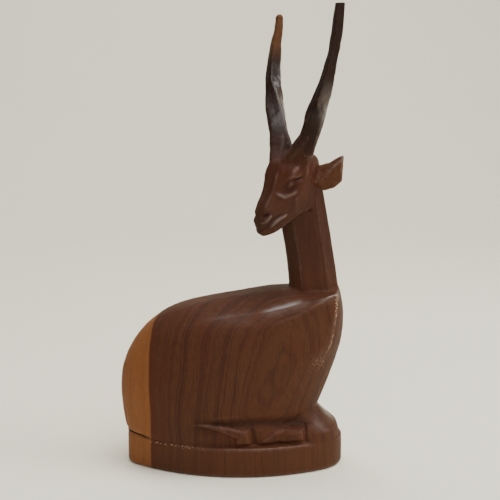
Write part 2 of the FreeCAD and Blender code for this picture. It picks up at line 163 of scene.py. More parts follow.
# ---- mesh helpers
def tube(rows):
    """A closed skin over a grid of rows that each run once round: its points, the four-sided faces between rows,
    and a fan of three-sided faces to the middle of the first and of the last row."""
    count, around = rows.shape[:2]
    points = np.vstack((rows.reshape(-1, 3), rows[0].mean(axis=0), rows[-1].mean(axis=0)))
    row, column = np.meshgrid(np.arange(count - 1), np.arange(around), indexing="ij")
    following = (column + 1) % around
    quads = np.stack((row * around + column, row * around + following,
                      (row + 1) * around + following, (row + 1) * around + column), axis=-1).reshape(-1, 4)
    spot = np.arange(around)
    ahead = (spot + 1) % around
    last = (count - 1) * around
    low = np.stack((np.full(around, count * around), ahead, spot), axis=-1)
    high = np.stack((np.full(around, count * around + 1), last + spot, last + ahead), axis=-1)
    return points, quads, np.vstack((low, high))


def add_object(name, data):
    """A new object of the scene that holds a mesh, a light or a camera."""
    made = bpy.data.objects.new(name, data)
    bpy.context.scene.collection.objects.link(made)
    return made


def skin(name, shells):
    """A mesh object from one or more shells in millimetres, each as tube gives it."""
    faces, base = [], 0
    for points, quads, fans in shells:
        faces += (quads + base).tolist() + (fans + base).tolist()
        base += len(points)
    mesh = bpy.data.meshes.new(name)
    mesh.from_pydata((np.vstack([shell[0] for shell in shells]) * MM).tolist(), [], faces)
    mesh.update()
    return add_object(name, mesh)


def read_points(mesh):
    """The mesh's points in millimetres."""
    flat = np.empty(len(mesh.vertices) * 3, np.float32)
    mesh.vertices.foreach_get("co", flat)
    return flat.reshape(-1, 3).astype(float) / MM


def write_points(mesh, points):
    """Puts points in millimetres back into the mesh."""
    mesh.vertices.foreach_set("co", (points * MM).astype(np.float32).ravel())
    mesh.update()


def read_normals(mesh):
    """The mesh's outward direction at each point."""
    flat = np.empty(len(mesh.vertices) * 3, np.float32)
    mesh.vertex_normals.foreach_get("vector", flat)
    return flat.reshape(-1, 3).astype(float)


def read_edges(mesh):
    """The two point numbers of each edge."""
    flat = np.empty(len(mesh.edges) * 2, np.int32)
    mesh.edges.foreach_get("vertices", flat)
    return flat.reshape(-1, 2)


def neighbour_mean(values, edges):
    """The mean of a value over each point's neighbours: sums along the edges, over the number of edges."""
    if values.ndim == 2:
        return np.stack([neighbour_mean(column, edges) for column in values.T], axis=1)
    count = len(values)
    shares = np.maximum(np.bincount(edges.ravel(), minlength=count), 1)
    return (np.bincount(edges[:, 0], values[edges[:, 1]], count)
            + np.bincount(edges[:, 1], values[edges[:, 0]], count)) / shares


def even_out(values, edges, times, share=0.5):
    """Moves each value towards its neighbours' mean, by share, so many times."""
    for _ in range(times):
        values = values + (neighbour_mean(values, edges) - values) * share
    return values


def keep_values(mesh, **values):
    """Stores numbers at each point under their names, for the finish to read."""
    for name, numbers in values.items():
        slot = mesh.attributes.new(name, "FLOAT", "POINT")
        slot.data.foreach_set("value", np.broadcast_to(numbers, len(mesh.vertices)).astype(np.float32))


def with_modifier(made, kind, **settings):
    """The object's mesh with one modifier applied."""
    step = made.modifiers.new(kind.lower(), kind)
    for name, value in settings.items():
        setattr(step, name, value)
    graph = bpy.context.evaluated_depsgraph_get()
    mesh = bpy.data.meshes.new_from_object(made.evaluated_get(graph))
    made.modifiers.remove(step)
    before = made.data
    made.data = mesh
    bpy.data.meshes.remove(before)
    mesh.name = made.name
    return mesh


def regrown(made, step):
    """The object's shells grown together into one skin, with faces about a step across, and evened out: its mesh,
    and the points and edges it is to have."""
    mesh = with_modifier(made, "REMESH", mode="VOXEL", voxel_size=step, adaptivity=0.0)
    edges = read_edges(mesh)
    return mesh, even_out(read_points(mesh), edges, 3), edges


def round_off(mesh):
    """Smooth shading over the whole mesh."""
    mesh.polygons.foreach_set("use_smooth", np.ones(len(mesh.polygons), bool))
    mesh.update()


# ---- the block
def egg_half(x, rump, chest, half, rump_round, chest_round):
    """Half the width, at x, of an egg of four tangent arcs about the X axis: two end arcs of the given radii and
    two flank arcs whose tops stand at half."""
    p, q = half - rump_round, half - chest_round
    a, b = rump - rump_round, chest - chest_round
    k2, k1, k0 = p - q, -2 * (p * b + q * a), p * b * b - q * a * a - (rump_round - chest_round) * p * q
    middle = (-k1 - math.sqrt(k1 * k1 - 4 * k2 * k0)) / (2 * k2)
    reach = ((middle + a) ** 2 / p + rump_round + half) / 2
    low = half - reach
    touch_rump = middle + (-a - middle) * reach / (reach - rump_round)
    touch_chest = middle + (b - middle) * reach / (reach - chest_round)
    flank = low + np.sqrt(np.maximum(reach**2 - (x - middle) ** 2, 0))
    rump_cap = np.sqrt(np.maximum(rump_round**2 - (x + a) ** 2, 0))
    chest_cap = np.sqrt(np.maximum(chest_round**2 - (x - b) ** 2, 0))
    return np.where(x < touch_rump, rump_cap, np.where(x > touch_chest, chest_cap, flank))


def plinth_half(x):
    """The plinth's half width at x."""
    return egg_half(x, PLINTH_LONG, PLINTH_LONG, PLINTH_HALF, rump_round=12.0, chest_round=21.0)


def plinth_shell():
    """The plinth: its plan drawn in near the top and the bottom edge by a quarter circle."""
    turn = round_turn(720)
    x = PLINTH_LONG * np.cos(turn)
    plan = np.stack((x, np.sign(np.sin(turn)) * plinth_half(x)), axis=1)
    plan[np.abs(np.sin(turn)) < 1e-9, 1] = 0.0
    quarter = np.linspace(0, math.pi / 2, 7)
    lower, upper = 1.8, 1.4
    side = np.linspace(lower + 0.4, PLINTH_TOP - upper - 0.2, 14)
    levels = np.concatenate((lower * (1 - np.cos(quarter)), side, PLINTH_TOP - upper * (1 - np.sin(quarter))))
    inset = np.concatenate((lower * (1 - np.sin(quarter)), np.zeros_like(side), upper * (1 - np.cos(quarter))))
    size = np.array((PLINTH_LONG, PLINTH_HALF))
    spread = (size - inset[:, None]) / size
    rows = np.empty((len(levels), len(turn), 3))
    rows[..., :2] = plan[None] * spread[:, None, :]
    rows[..., 2] = levels[:, None]
    return tube(rows)


# level, rump end, chest front, half width, swell of the chest's front, rounding of the chest's corner
TRUNK = (
    (11.5, -59.2, 41.0, 26.2, 12.0, 6.0),
    (16.5, -59.6, 42.0, 26.6, 12.0, 6.0),
    (20.0, -60.2, 42.6, 27.0, 12.0, 6.0),
    (28.0, -61.6, 44.4, 27.6, 12.0, 6.0),
    (35.0, -62.4, 46.6, 28.0, 12.0, 6.0),
    (43.0, -62.8, 49.8, 28.2, 11.5, 5.0),
    (51.4, -62.2, 52.9, 28.0, 10.5, 4.0),
    (60.5, -59.6, 55.9, 27.4, 9.2, 3.0),
    (69.6, -54.9, 58.4, 26.3, 6.6, 1.8),
    (78.0, -48.2, 59.4, 25.2, 5.8, 1.2),
    (84.0, -40.8, 59.5, 24.3, 5.0, 1.0),
    (88.5, -33.6, 59.2, 23.5, 4.3, 0.9),
    (92.0, -24.0, 58.6, 22.6, 3.4, 0.8),
    (94.8, -13.0, 58.0, 22.0, 2.8, 0.8),
    (98.0, 3.0, 57.2, 21.3, 2.2, 0.8),
    (101.5, 18.0, 56.3, 21.0, 2.0, 0.8),
)

# along X: level of the back 10 mm from its middle, level of the shoulder 18 mm out, rounding into the flank
BACK = (
    (-62.0, 89.2, 73.0, 9.0),
    (-40.0, 91.6, 79.0, 9.0),
    (-20.0, 94.6, 83.4, 9.0),
    (0.0, 96.6, 86.4, 8.0),
    (15.0, 97.8, 88.4, 6.0),
    (24.0, 98.4, 90.4, 4.4),
    (35.0, 98.7, 93.4, 3.2),
    (45.0, 98.6, 96.0, 3.0),
    (55.0, 98.4, 98.2, 2.0),
    (62.0, 98.2, 99.0, 0.9),
)


def back_level(x, y):
    """The level of the top over (x, y), and how widely the flank rounds into it: a strip with a slight crown, a
    fall to the shoulder line that is part straight and part an S, and beyond that a slope of one in one."""
    strip_half, shoulder_out = 10, 18
    strip, shoulder, ease = read_table(BACK, x)
    out = np.abs(y)
    crown = strip + 0.8 * (1 - np.minimum(out / strip_half, 1) ** 2)
    fall = 0.35 * np.clip((out - 8) / 10, 0, 1) + 0.65 * rise(7, shoulder_out, out)
    return crown + (shoulder - strip) * fall - np.maximum(out - shoulder_out, 0), ease


def trunk_shell():
    """The trunk: level sections, each an ellipse cut off in front by a bowed line with a rounded corner, measured
    out from the ellipse's middle; the plan never passes the plinth's near the foot, the last section is carried
    inwards to close the top, and the whole is pressed down to the back's level."""
    level = np.concatenate((np.linspace(11.5, 80, 100), np.linspace(80.5, 101.5, 60)))[:, None]
    turn = round_turn(540)[None]
    rump, chest, half, swell, corner = read_table(TRUNK, level[:, 0])[..., None]
    long = (chest - rump) / 1.714
    middle = rump + long
    oval = 1 / np.sqrt((np.cos(turn) / long) ** 2 + (np.sin(turn) / half) ** 2)
    bow = swell * np.sin(turn) ** 2 / 17**2
    room = chest - middle
    front = 2 * room / np.maximum(np.cos(turn) + np.sqrt(np.cos(turn) ** 2 + 4 * bow * room), 1e-6)
    out = soft_least(oval, np.minimum(front, 400.0), corner)
    x = middle + out * np.cos(turn)
    y = out * np.sin(turn)
    z = level + 0 * turn
    foot = plinth_half(x) - 0.1 + 0.5 * np.maximum(z - 17.0, 0)
    y = np.sign(y) * np.minimum(np.abs(y), np.maximum(foot, 0.0))
    caps = 48
    inward = np.linspace(0.97, 0.02, caps)[:, None]
    centre = (x[-1].min() + x[-1].max()) / 2
    x = np.vstack((x, centre + inward * (x[-1:] - centre)))
    y = np.vstack((y, inward * y[-1:]))
    z = np.vstack((z, level[-1] + 0 * x[-caps:]))
    return tube(np.stack((x, y, soft_least(z, *back_level(x, y))), axis=-1))


# level, throat X, nape X, half width
NECK = (
    (88.0, 30.6, 57.2, 10.4),
    (99.5, 29.9, 56.3, 10.2),
    (103.9, 29.5, 55.8, 10.0),
    (113.3, 28.6, 54.3, 9.8),
    (121.0, 27.5, 53.0, 9.5),
    (133.4, 25.5, 50.9, 9.1),
    (149.0, 25.0, 48.1, 8.8),
    (159.0, 27.2, 45.9, 8.3),
    (165.0, 29.5, 41.5, 6.4),
)


def corner_rows(corners, per_side):
    """Straight runs between the corners of each row's outline, per_side points to a run."""
    share = (np.arange(per_side) / per_side)[None, None, :, None]
    following = np.roll(corners, -1, axis=1)
    runs = corners[:, :, None] * (1 - share) + following[:, :, None] * share
    return runs.reshape(corners.shape[0], -1, corners.shape[-1])


def neck_shell():
    """The neck: level eight-sided sections, knife-flat between the corners."""
    level = np.linspace(88, 165, 90)
    throat, nape, half = read_table(NECK, level)
    shares = np.array(((0.0, -0.34), (0.25, -1.0), (0.80, -0.94), (1.0, -0.34),
                       (1.0, 0.34), (0.80, 0.94), (0.25, 1.0), (0.0, 0.34)))
    corners = np.empty((len(level), 8, 3))
    corners[..., 0] = throat[:, None] + shares[None, :, 0] * (nape - throat)[:, None]
    corners[..., 1] = shares[None, :, 1] * half[:, None]
    corners[..., 2] = level[:, None]
    return tube(corner_rows(corners, 10))


def head_point(ahead, out, up):
    """The point so far forward, out to the left and up along the head's own axes."""
    return POLL + np.multiply.outer(ahead, FORWARD) + np.multiply.outer(out, LEFTWARD) + np.multiply.outer(up, UPWARD)


def head_place(points):
    """How far forward, out to the left and up each point lies along the head's own axes."""
    off = points - POLL
    return off @ FORWARD, off @ LEFTWARD, off @ UPWARD


# forward, level of the top, then how far out and up for each of: bridge edge, brow, cheek, jaw; then the underside
HEAD = (
    (-7.0, 2.5, 2.0, 2.2, 3.4, 1.4, 4.0, -1.0, 3.2, -3.6, -4.6),
    (-3.0, 9.4, 3.4, 8.6, 6.0, 6.2, 8.0, 0.4, 6.4, -6.0, -9.0),
    (2.0, 14.0, 3.4, 13.6, 9.2, 10.0, 10.8, 2.0, 8.8, -8.0, -10.5),
    (8.0, 16.3, 3.6, 16.4, 11.0, 11.3, 11.6, 1.5, 9.5, -9.5, -12.0),
    (13.0, 17.3, 4.0, 17.5, 11.0, 11.0, 11.4, 0.6, 9.4, -11.2, -13.7),
    (18.0, 15.5, 4.2, 15.4, 9.9, 9.0, 10.8, -0.3, 8.8, -13.0, -14.8),
    (22.0, 13.4, 4.0, 12.8, 8.3, 6.8, 9.7, -1.0, 7.9, -11.6, -12.8),
    (26.0, 11.2, 3.8, 10.6, 7.0, 5.0, 8.4, -1.6, 6.9, -10.3, -11.7),
    (30.0, 9.7, 3.7, 9.2, 6.0, 4.2, 7.2, -2.0, 5.8, -9.6, -11.0),
    (35.0, 8.4, 3.7, 7.9, 5.3, 3.7, 6.2, -2.4, 4.9, -8.6, -10.4),
    (39.0, 6.7, 3.7, 6.2, 5.3, 2.4, 5.7, -2.8, 4.2, -7.4, -9.0),
    (42.2, 3.7, 3.3, 3.1, 4.6, 0.6, 4.8, -3.0, 3.5, -6.0, -7.2),
    (44.8, 0.8, 2.2, 0.3, 3.0, -1.0, 3.1, -2.9, 2.0, -4.7, -5.4),
    (46.4, -2.0, 0.7, -2.1, 1.0, -2.5, 1.0, -3.0, 0.7, -3.5, -3.8),
)


def head_shell():
    """The head: ten-sided sections square to the face, alike on both sides, with their corners running smoothly
    from the poll to the nose."""
    ahead = np.linspace(-7.5, 45.9, 150)
    top, *side, under = read_table(HEAD, ahead)
    zero = np.zeros_like(top)
    outs, ups = side[0::2], side[1::2]
    out = np.stack((zero, *outs, zero, *(-far for far in outs[::-1])), axis=1)
    up = np.stack((top, *ups, under, *ups[::-1]), axis=1)
    return tube(corner_rows(head_point(ahead[:, None], out, up), 8))


# level, chest end, length, half width, how square the plan is
KNEES = (
    (11.0, 57.8, 50.0, 21.4, 2.5),
    (18.0, 57.7, 50.0, 21.3, 2.5),
    (21.5, 56.9, 50.0, 21.0, 2.5),
    (24.0, 54.9, 47.0, 19.8, 2.4),
    (28.0, 50.6, 41.0, 16.5, 2.3),
    (32.5, 46.0, 34.0, 12.5, 2.2),
    (36.0, 42.0, 28.0, 9.0, 2.0),
)


def squared_circle(turn, power):
    """How far out a plan between a circle (power 2) and a square (a high power) lies in each direction."""
    return (np.abs(np.cos(turn)) ** power + np.abs(np.sin(turn)) ** power) ** (-1 / power)


def knee_shell():
    """The folded knees: level sections between an ellipse and a box, by the power the plan is raised to."""
    level = np.linspace(11.0, 36.0, 60)
    end, length, half, power = read_table(KNEES, level)[..., None]
    turn = round_turn(240)[None]
    out = squared_circle(turn, power)
    x = end - length / 2 + out * np.cos(turn) * length / 2
    y = out * np.sin(turn) * half
    return tube(np.stack((x, y, level[:, None] + 0 * turn), axis=-1))


# Each leg's outline on the flank, along X and up.
HIND_LEG = ((-23.0, 28.4), (-17.0, 29.3), (-5.7, 28.3), (3.5, 26.8), (7.6, 25.9), (8.4, 22.0), (9.8, 17.4),
            (0.0, 17.2), (0.4, 20.8), (-9.1, 25.2), (-16.0, 27.2))
HIND_HOOF = ((0.8, 26.8), (7.6, 25.9), (8.4, 22.0), (9.8, 17.4), (0.0, 17.2), (0.4, 20.8))
FORE_LEG = ((37.6, 24.4), (29.0, 25.4), (21.5, 24.6), (14.6, 20.6), (11.8, 17.4), (17.4, 16.8), (29.0, 16.8),
            (37.8, 18.2))


def leg_relief(x, z):
    """How far the flank is carved out (positive) or in (negative) at x and z: the legs stand out with bevelled
    edges, and a shallow trough runs above them, deepest against the legs."""
    hind = depth_in(x, z, HIND_LEG)
    legs = np.maximum(hind, depth_in(x, z, FORE_LEG))
    hoof = depth_in(x, z, HIND_HOOF)
    spots = np.stack((x, z), axis=1)
    shin, notch, heel = (stroke(spots, line)[0] for line in (
        ((-14.0, 27.6), (-5.0, 26.4), (0.6, 24.4)), ((9.8, 25.6), (10.9, 18.0)), ((38.6, 25.6), (38.8, 17.6))))
    raised = 1.8 * rise(-0.2, 1.7, legs) - 0.45 * bell(shin, 0, 0.6) * (hind > 0) + 0.2 * rise(0, 0.8, hoof)
    arch = 28.8 + 2.0 * bell(x, 8.0, 16.0) - 0.07 * np.maximum(x - 20.0, 0)
    trough = -1.7 * bell(z - arch, -1.2, 3.1) * rise(-27, -12, x) * rise(43, 36, x)
    return np.where(legs > 0, raised, trough) - 1.2 * bell(notch, 0, 1.3) - 1.0 * bell(heel, 0, 0.7)


# Knife work on each side of the head: a bent line in (forward, out, up), half width, how far out or in it goes, and
# how much painted shade it holds.
FACE_CUTS = (
    # brow ridge, upper lid, lower lid, the cut under the eyeball
    (((24.6, 8.0, 9.2), (20.6, 9.0, 10.6), (15.6, 10.6, 11.8), (10.8, 11.2, 11.4)), 1.5, 0.4, 0.0),
    (((21.6, 8.8, 9.4), (18.4, 9.9, 9.6), (15.6, 10.7, 8.2)), 0.7, -0.35, 0.3),
    (((26.2, 5.4, 8.2), (25.6, 6.2, 6.5), (24.8, 7.3, 4.3), (21.7, 8.9, 3.1), (18.8, 10.2, 2.3)), 0.9, 0.9, 0.0),
    (((23.4, 8.4, 6.2), (20.8, 9.3, 4.9), (17.6, 10.4, 4.4)), 0.7, -0.45, 0.35),
    # nick in the brow, the eye's back corner
    (((15.9, 10.7, 13.9), (13.1, 11.1, 13.2), (10.8, 11.2, 12.6)), 0.6, -0.9, 1.0),
    (((15.6, 10.8, 7.4), (13.4, 11.1, 6.4), (11.3, 11.3, 5.3)), 0.6, -1.1, 1.2),
    # nostril and its rim
    (((40.4, 3.4, 5.6), (39.0, 4.1, 5.0), (37.0, 4.8, 4.2)), 0.8, -1.5, 1.1),
    (((42.4, 2.6, 3.0), (40.4, 4.4, 2.6), (37.0, 5.4, 2.6)), 0.7, 0.8, 0.0),
    # mouth, lower lip, the cut under it
    (((45.6, 0.8, -0.2), (42.4, 4.3, 0.2), (38.4, 5.4, 0.4), (33.8, 5.9, -0.8), (30.2, 6.4, -2.2)), 0.7, -0.9, 0.8),
    (((40.6, 4.9, -1.5), (37.9, 5.4, -1.7), (35.0, 5.8, -2.3), (30.0, 6.8, -3.8)), 0.8, 1.0, 0.0),
    (((46.0, 0.8, -3.6), (42.0, 4.3, -4.4), (36.0, 5.6, -5.2)), 0.9, -0.5, 0.3),
    # under the jaw, the cheek's edge, beside the bridge, the bridge's arris
    (((24.4, 7.2, -10.7), (21.2, 8.0, -12.6), (18.2, 8.8, -14.2)), 0.7, -1.4, 1.2),
    (((20.6, 10.4, 0.4), (23.3, 9.4, -3.6), (26.0, 7.9, -7.9)), 1.5, 0.45, 0.0),
    (((34.0, 5.6, 5.6), (28.0, 6.6, 5.6), (26.6, 6.8, 6.6)), 1.7, -0.5, 0.0),
    (((17.6, 4.4, 15.6), (21.3, 4.2, 12.7), (25.9, 3.9, 10.9), (30.3, 3.8, 9.4), (36.1, 3.6, 7.9)),
     0.7, 0.45, 0.0),
)


def face_relief(ahead, out, up):
    """How far each side of the face is carved out or in, how much painted shade it takes, and where it is made glossy
    and
    painted pale as a highlight: an eye socket as a smooth bowl painted with shade, an eyeball as a dome with a glossy
    spot, and each knife cut as a bell-shaped groove or ridge that fades at its ends, painted with shade by its own
    amount. The sharper raised ridges get the pale painted highlight as well as the gloss."""
    socket = ((ahead - 19.6) / 5.4) ** 2 + ((up - 6.6) / 3.4) ** 2
    ball = ((ahead - 18.9) / 2.2) ** 2 + ((up - 7.3) / 1.7) ** 2
    relief = -1.2 * bell(socket, 0, 1) + 0.9 * np.sqrt(np.clip(1 - ball, 0, 1))
    # painted shade in the eye socket, less of it on the eyeball
    painted_shade = 0.45 * bell(socket, 0, 1) - 0.2 * np.clip(1 - ball, 0, 1)
    pale = 0.5 * np.clip(1 - ((ahead - 18.4) ** 2 + (up - 8.0) ** 2) / 0.8, 0, 1)
    spots = np.stack((ahead, out, up), axis=1)
    for line, width, height, shade in FACE_CUTS:
        away, along = stroke(spots, line)
        cut = np.sqrt(np.clip(np.minimum(along, 1 - along) * 6 + 0.25, 0, 1)) * bell(away, 0, width)
        relief = relief + height * cut
        # painted shade along the cut
        painted_shade = np.maximum(painted_shade, shade * cut)
        # the sharper raised ridges are painted pale as a highlight, and made glossy
        if height > 0 and width < 1.0:
            pale = np.maximum(pale, cut**1.5)
    return relief, painted_shade, pale


# The shoulder's crest, along X, out and up.
SHOULDER = ((10.0, 19.0, 87.0), (18.6, 18.4, 88.6), (28.4, 18.0, 91.2), (38.3, 18.0, 94.0), (47.0, 17.4, 96.2),
            (54.4, 16.8, 97.8))

# level, then where the edge between the flank and the chest's front stands: along X and out
CHEST_ARRIS = ((56.0, 43.0, 21.0), (59.2, 45.6, 20.0), (70.3, 51.4, 18.0), (84.1, 54.6, 17.6), (98.9, 54.9, 16.8))


def carve(points, normals):
    """Moves the block's points along their outward directions for the knife work: the legs on both flanks, the
    face, the drying split, the scored line over the plinth, and a slight unevenness all over. Gives the moved
    points, how much painted shade the wood takes there (in the face's cuts and socket, the split, the scored line,
    the trough over the legs and the back's top strip), and where the face is made glossy and painted pale as a
    highlight."""
    x, y, z = points.T
    ahead, out, up = head_place(points)

    flank = (z > 16.0) & (z < 36) & (np.abs(y) > 12) & (x > -34) & (x < 44) & (np.abs(normals[:, 1]) > 0.3)
    legs = np.zeros(len(points))
    legs[flank] = leg_relief(x[flank], z[flank]) * rise(16.0, 16.9, z[flank])

    face = (ahead > 6) & (ahead < 47) & (np.abs(out) < 16) & (up > -17) & (up < 19)
    side, shade, pale = np.zeros((3, len(points)))
    side[face], shade[face], pale[face] = face_relief(ahead[face], np.abs(out[face]), up[face])

    away, along = stroke(points[:, (0, 2)], ((-64.0, 19.2), (-56.0, 18.6), (-46.5, 17.6)))
    split = bell(away, 0, 0.42) * (y < 4) * (z < 24) * (x < -45)
    scored = bell(z, 16.9, 0.45) * rise(-14, -44, x) * (normals[:, 2] < 0.8)

    uneven = (0.05 * ripple(points, 11.0, 1) + 0.025 * ripple(points, 3.6, 2)) * rise(1.0, 3.0, z)
    uneven = uneven * (1 + 1.6 * rise(145, 160, z))
    level_move = legs - 2.6 * split * rise(0, 0.3, 1 - along) - 0.35 * scored
    moved = points + normals * (side + uneven)[:, None] + in_plan(normals) * level_move[:, None]
    # Painted shade: the face's cuts and socket, the drying split, the scored line and the trough over the legs are
    # painted darker as their shade, and the back's top strip behind the neck is painted darker as the shade it lies
    # in.
    dark = np.clip(shade + split * 1.4 + 0.5 * scored + np.maximum(-legs * 0.35, 0), 0, 1)
    back = 0.36 * rise(91, 95, z) * rise(15, 9, np.abs(y)) * rise(29, 24, x)
    return moved, np.maximum(dark, back), pale


def handled(points, pale):
    """Where the block is chipped, and where it is rubbed to a gloss: along the chest's arris, the plinth's rim and
    the horns' roots for the chips, and along the shoulders, the knees, the haunches and the face's pale ridges for
    the gloss. On the face's pale ridges the gloss mark goes past 1, where the finish also paints a pale highlight."""
    x, y, z = points.T
    ahead, out, up = head_place(points)
    arris_x, arris_out = read_table(CHEST_ARRIS, z)
    arris = bell(np.hypot(x - arris_x, np.abs(y) - arris_out), 0, 1.2) * rise(56, 63, z) * rise(101, 98, z)
    cluster = bell(np.hypot(x - 45.0, z - 61.0), 0, 6.0)
    rim = bell(z - PLINTH_TOP, -0.7, 0.9) * rise(-6, -20, x) * rise(-50, -44, x)
    roots = bell(ahead, 3.0, 7.0) * bell(up, 14.0, 6.0) * (np.abs(out) > 5)
    sides = np.maximum(0.95 * arris, 0.5 * cluster) * (np.abs(y) > 8)
    chips = np.maximum.reduce((sides, 0.7 * rim, 0.3 * roots))

    crest, along = stroke(np.stack((x, np.abs(y), z), axis=1), SHOULDER)
    shoulders = bell(crest, 0, 3.6) * rise(0.0, 0.3, along)
    knees = bell(z, 29.0, 5.5) * rise(41, 46, x) * rise(40, 30, z)
    haunches = bell(x, -4.0, 13.0) * bell(np.abs(y), 21.0, 6.0) * bell(z, 88.0, 8.0)
    # the face's ridges count double, past 1, where the finish paints them with a pale highlight besides the gloss
    return chips, np.maximum.reduce((shoulders, 0.8 * knees, 0.5 * haunches, 2.0 * pale))


def edge_wear(points, normals, edges, times, full):
    """0 to 1 on outward edges: how far each point stands above the skin evened out so many times, over the height
    that counts as full wear."""
    lift = ((points - even_out(points, edges, times)) * normals).sum(axis=1)
    return np.clip(lift / full - 0.2, 0, 1)


def carved_block(detail):
    """The whole block as one skin: the plinth, trunk, neck, head and knees grown together, evened out, cut with the
    knife work, and thinned to fewer faces."""
    made = skin("body_carving", (plinth_shell(), trunk_shell(), neck_shell(), head_shell(), knee_shell(),
                                 horn_root(1), horn_root(-1), horn_brow(1), horn_brow(-1)))
    mesh, points, edges = regrown(made, detail)
    foot = bell(points[:, 2], 99.5, 3.0) * rise(23, 17, np.hypot(points[:, 0] - 42, points[:, 1]))
    crown = bell(points[:, 2], 175.0, 5.5)
    points = even_out(points, edges, 10, 0.5 * np.maximum(foot, crown)[:, None])
    write_points(mesh, points)
    moved, dark, pale = carve(points, read_normals(mesh))
    moved = even_out(moved, edges, 1)
    moved[:, 2] = np.maximum(moved[:, 2], 0.0)
    write_points(mesh, moved)

    x, _, z = points.T
    legs = rise(30, 27, z) * rise(16.4, 17.2, z) * rise(45, 40, x)
    back = rise(88, 92, z) * rise(28, 20, x)
    eyes = np.linalg.norm(points - head_point(19.0, 0.0, 7.0), axis=1)
    worn = edge_wear(moved, read_normals(mesh), edges, 12, 0.2) * (1 - 0.75 * legs)
    chips, rubbed = handled(points, pale)
    # dark carries the painted shade; rubbed carries the gloss and, past 1, the pale painted highlight
    keep_values(mesh, worn=worn * (1 - back) * (0.3 + 0.7 * rise(9.0, 12.0, eyes)), rubbed=rubbed,
                dark=even_out(dark, edges, 1), chips=chips)
    kept = min(1.0, BLOCK_TRIANGLES / (2 * len(mesh.polygons)))
    round_off(with_modifier(made, "DECIMATE", ratio=kept))
    return made


# ---- horns and ears
# share of the height, spread, lean of the line that both horns follow
HORN_LINE = (
    (-0.20, -4.4, -1.0),
    (-0.09, -2.2, -0.5),
    (0.00, 0.0, 0.0),
    (0.17, 5.0, 0.9),
    (0.28, 7.8, 1.5),
    (0.38, 10.3, 2.9),
    (0.49, 12.4, 4.4),
    (0.62, 13.7, 5.9),
    (0.80, 14.4, 8.2),
    (1.00, 15.0, 9.8),
)

# share of the height, breadth seen from the near flank, how far the knife's arris has turned from it in degrees,
# sway along the block
LEFT_HORN = (
    (-0.20, 12.0, 40, 0.0),
    (-0.09, 11.4, 40, 0.0),
    (0.035, 10.9, 38, 0.2),
    (0.15, 10.8, 34, 0.2),
    (0.257, 11.1, 24, 0.0),
    (0.37, 9.6, -16, -0.2),
    (0.48, 7.6, -24, -0.2),
    (0.59, 6.1, -28, 0.0),
    (0.70, 5.6, -31, 0.4),
    (0.81, 5.7, -33, 0.4),
    (1.00, 5.0, -35, 0.3),
)
RIGHT_HORN = (
    (-0.20, 15.5, 48, -1.4),
    (-0.09, 13.4, 48, -0.6),
    (0.045, 11.4, 46, 0.4),
    (0.165, 10.1, 43, 0.4),
    (0.285, 10.4, 36, 0.6),
    (0.404, 9.4, 18, 0.6),
    (0.524, 8.3, -16, 0.1),
    (0.644, 7.5, -23, 0.3),
    (0.764, 6.1, -30, 0.1),
    (0.88, 4.7, -34, 1.0),
    (0.944, 4.2, -35, 1.2),
    (1.00, 3.8, -35, 1.2),
)


RING = 128  # points round a horn


def horn_rows(side, share, tip_round=0.1):
    """Level rings up one horn, and their middles: a square with nearly flat sides and tight corners, turned as it
    rises and sized so that it has the table's breadth across X; tip_round rounds off the end."""
    table, tall = (LEFT_HORN, 76.3) if side > 0 else (RIGHT_HORN, 70.9)
    spread, lean = read_table(HORN_LINE, share)
    breadth, twist, sway = read_table(table, share)
    line = (POLL + 12.5 * UPWARD + (side * (8.8 + spread))[:, None] * LEFTWARD + lean[:, None] * BACKWARD
            + (tall * share)[:, None] * VERTICAL)
    line[:, 0] += sway
    turn = round_turn(RING)[None]
    out = squared_circle(turn - np.radians(twist - 135.0)[:, None], 5.5)
    across = out * np.cos(turn)
    reach = breadth / 2 / across.max(axis=1)
    to_tip = np.clip((1.0 - share) * tall / tip_round, 0, 1)
    reach = reach * (np.sqrt(np.clip(1 - (1 - to_tip) ** 2, 0, 1)) * 0.8 + 0.2)
    rows = np.repeat(line[:, None], RING, axis=1)
    rows[..., 0] += across * reach[:, None]
    rows[..., 1] += out * np.sin(turn) * reach[:, None]
    return rows, line


def horn_root(side):
    """The stump that the block keeps inside a horn's foot, so that the skin of the head runs up into the horn."""
    share = np.linspace(-0.2, 0.13, 30)
    rows, _ = horn_rows(side, share)
    middle = rows.mean(axis=1, keepdims=True)
    size = 1.0 - 0.05 * rise(-0.02, 0.08, share) - 0.5 * rise(0.10, 0.13, share)
    return tube(middle + (rows - middle) * size[:, None, None])


def horn_brow(side):
    """The wedge of wood in front of a horn's foot: a skin through three level rings, from the horn's own ring a
    little way up, to a smaller one over the brow, to a small one where the bridge of the nose begins."""
    (high, low), _ = horn_rows(side, np.array((0.15, 0.0)))
    shape = low - low.mean(axis=0)
    brow = head_point(9.2, side * 4.1, 14.9) + 0.56 * shape
    bridge = head_point(15.4, side * 4.1, 13.2) + 0.30 * shape
    top = high.mean(axis=0) + 0.9 * (high - high.mean(axis=0))
    share = np.linspace(0, 1, 16)[:, None, None]
    rows = np.concatenate((top * (1 - share) + brow * share, (brow * (1 - share) + bridge * share)[1:]))
    return tube(rows[::-1])


